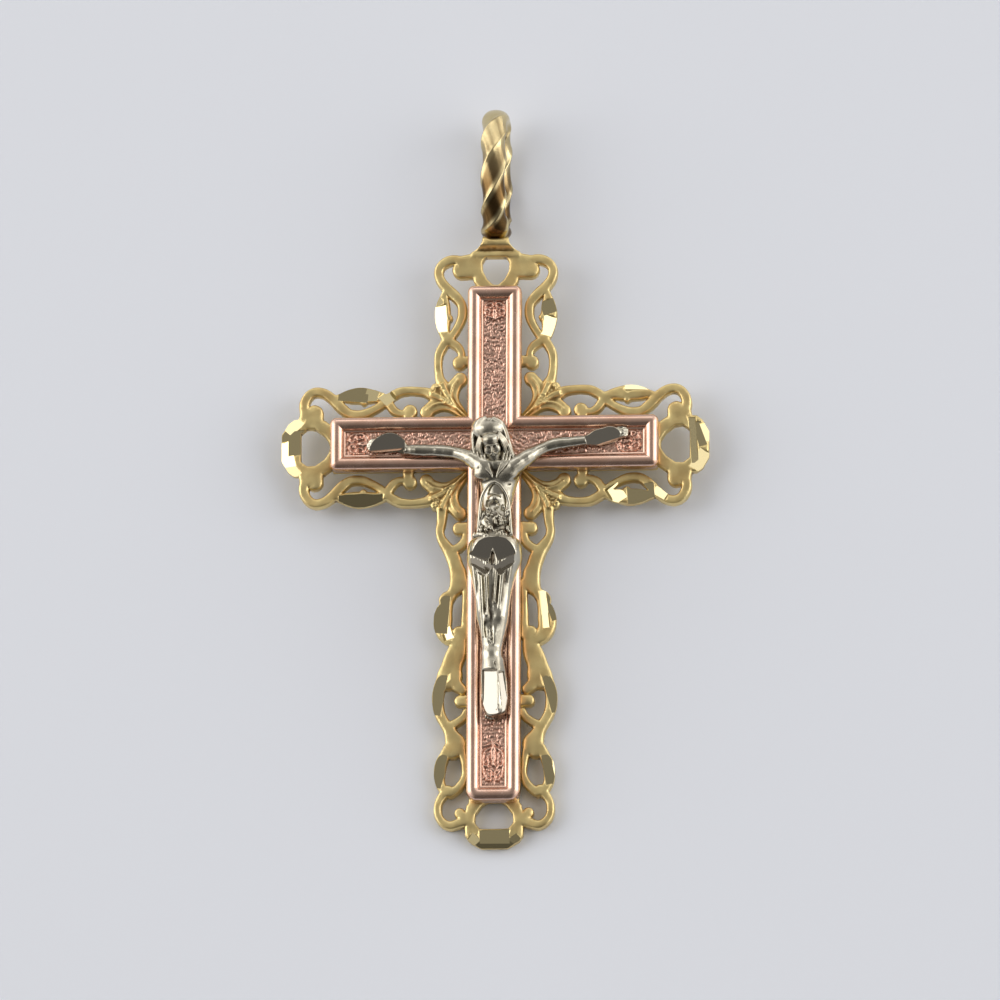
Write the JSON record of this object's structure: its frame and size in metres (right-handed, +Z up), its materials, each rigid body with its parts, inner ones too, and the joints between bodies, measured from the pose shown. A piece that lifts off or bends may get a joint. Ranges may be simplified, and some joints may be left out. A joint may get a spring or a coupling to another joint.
{
  "type": "crucifix pendant",
  "caption": "Pierced scrollwork cross with a rose inner cross, a white figure and a twisted rope bail that a neck chain runs through.",
  "frame": {"origin": "bottom centre of the lying pendant's bounding box, on the surface it rests on", "axes": "+X to the pendant's left arm as seen in the picture's right, +Y along the surface towards the bail, +Z up, away from the surface"},
  "size_m": [0.033, 0.0582, 0.0062],
  "materials": {
    "yellow_gold": "satin pale yellow gold, polished where it is cut",
    "rose_gold": "polished rose gold with a stippled floor",
    "white_gold": "polished white gold"
  },
  "bodies": {
    "root": {"filigree_cross": "yellow_gold", "inner_cross": "rose_gold", "corpus": "white_gold", "bail": "yellow_gold"}
  },
  "joints": []
}
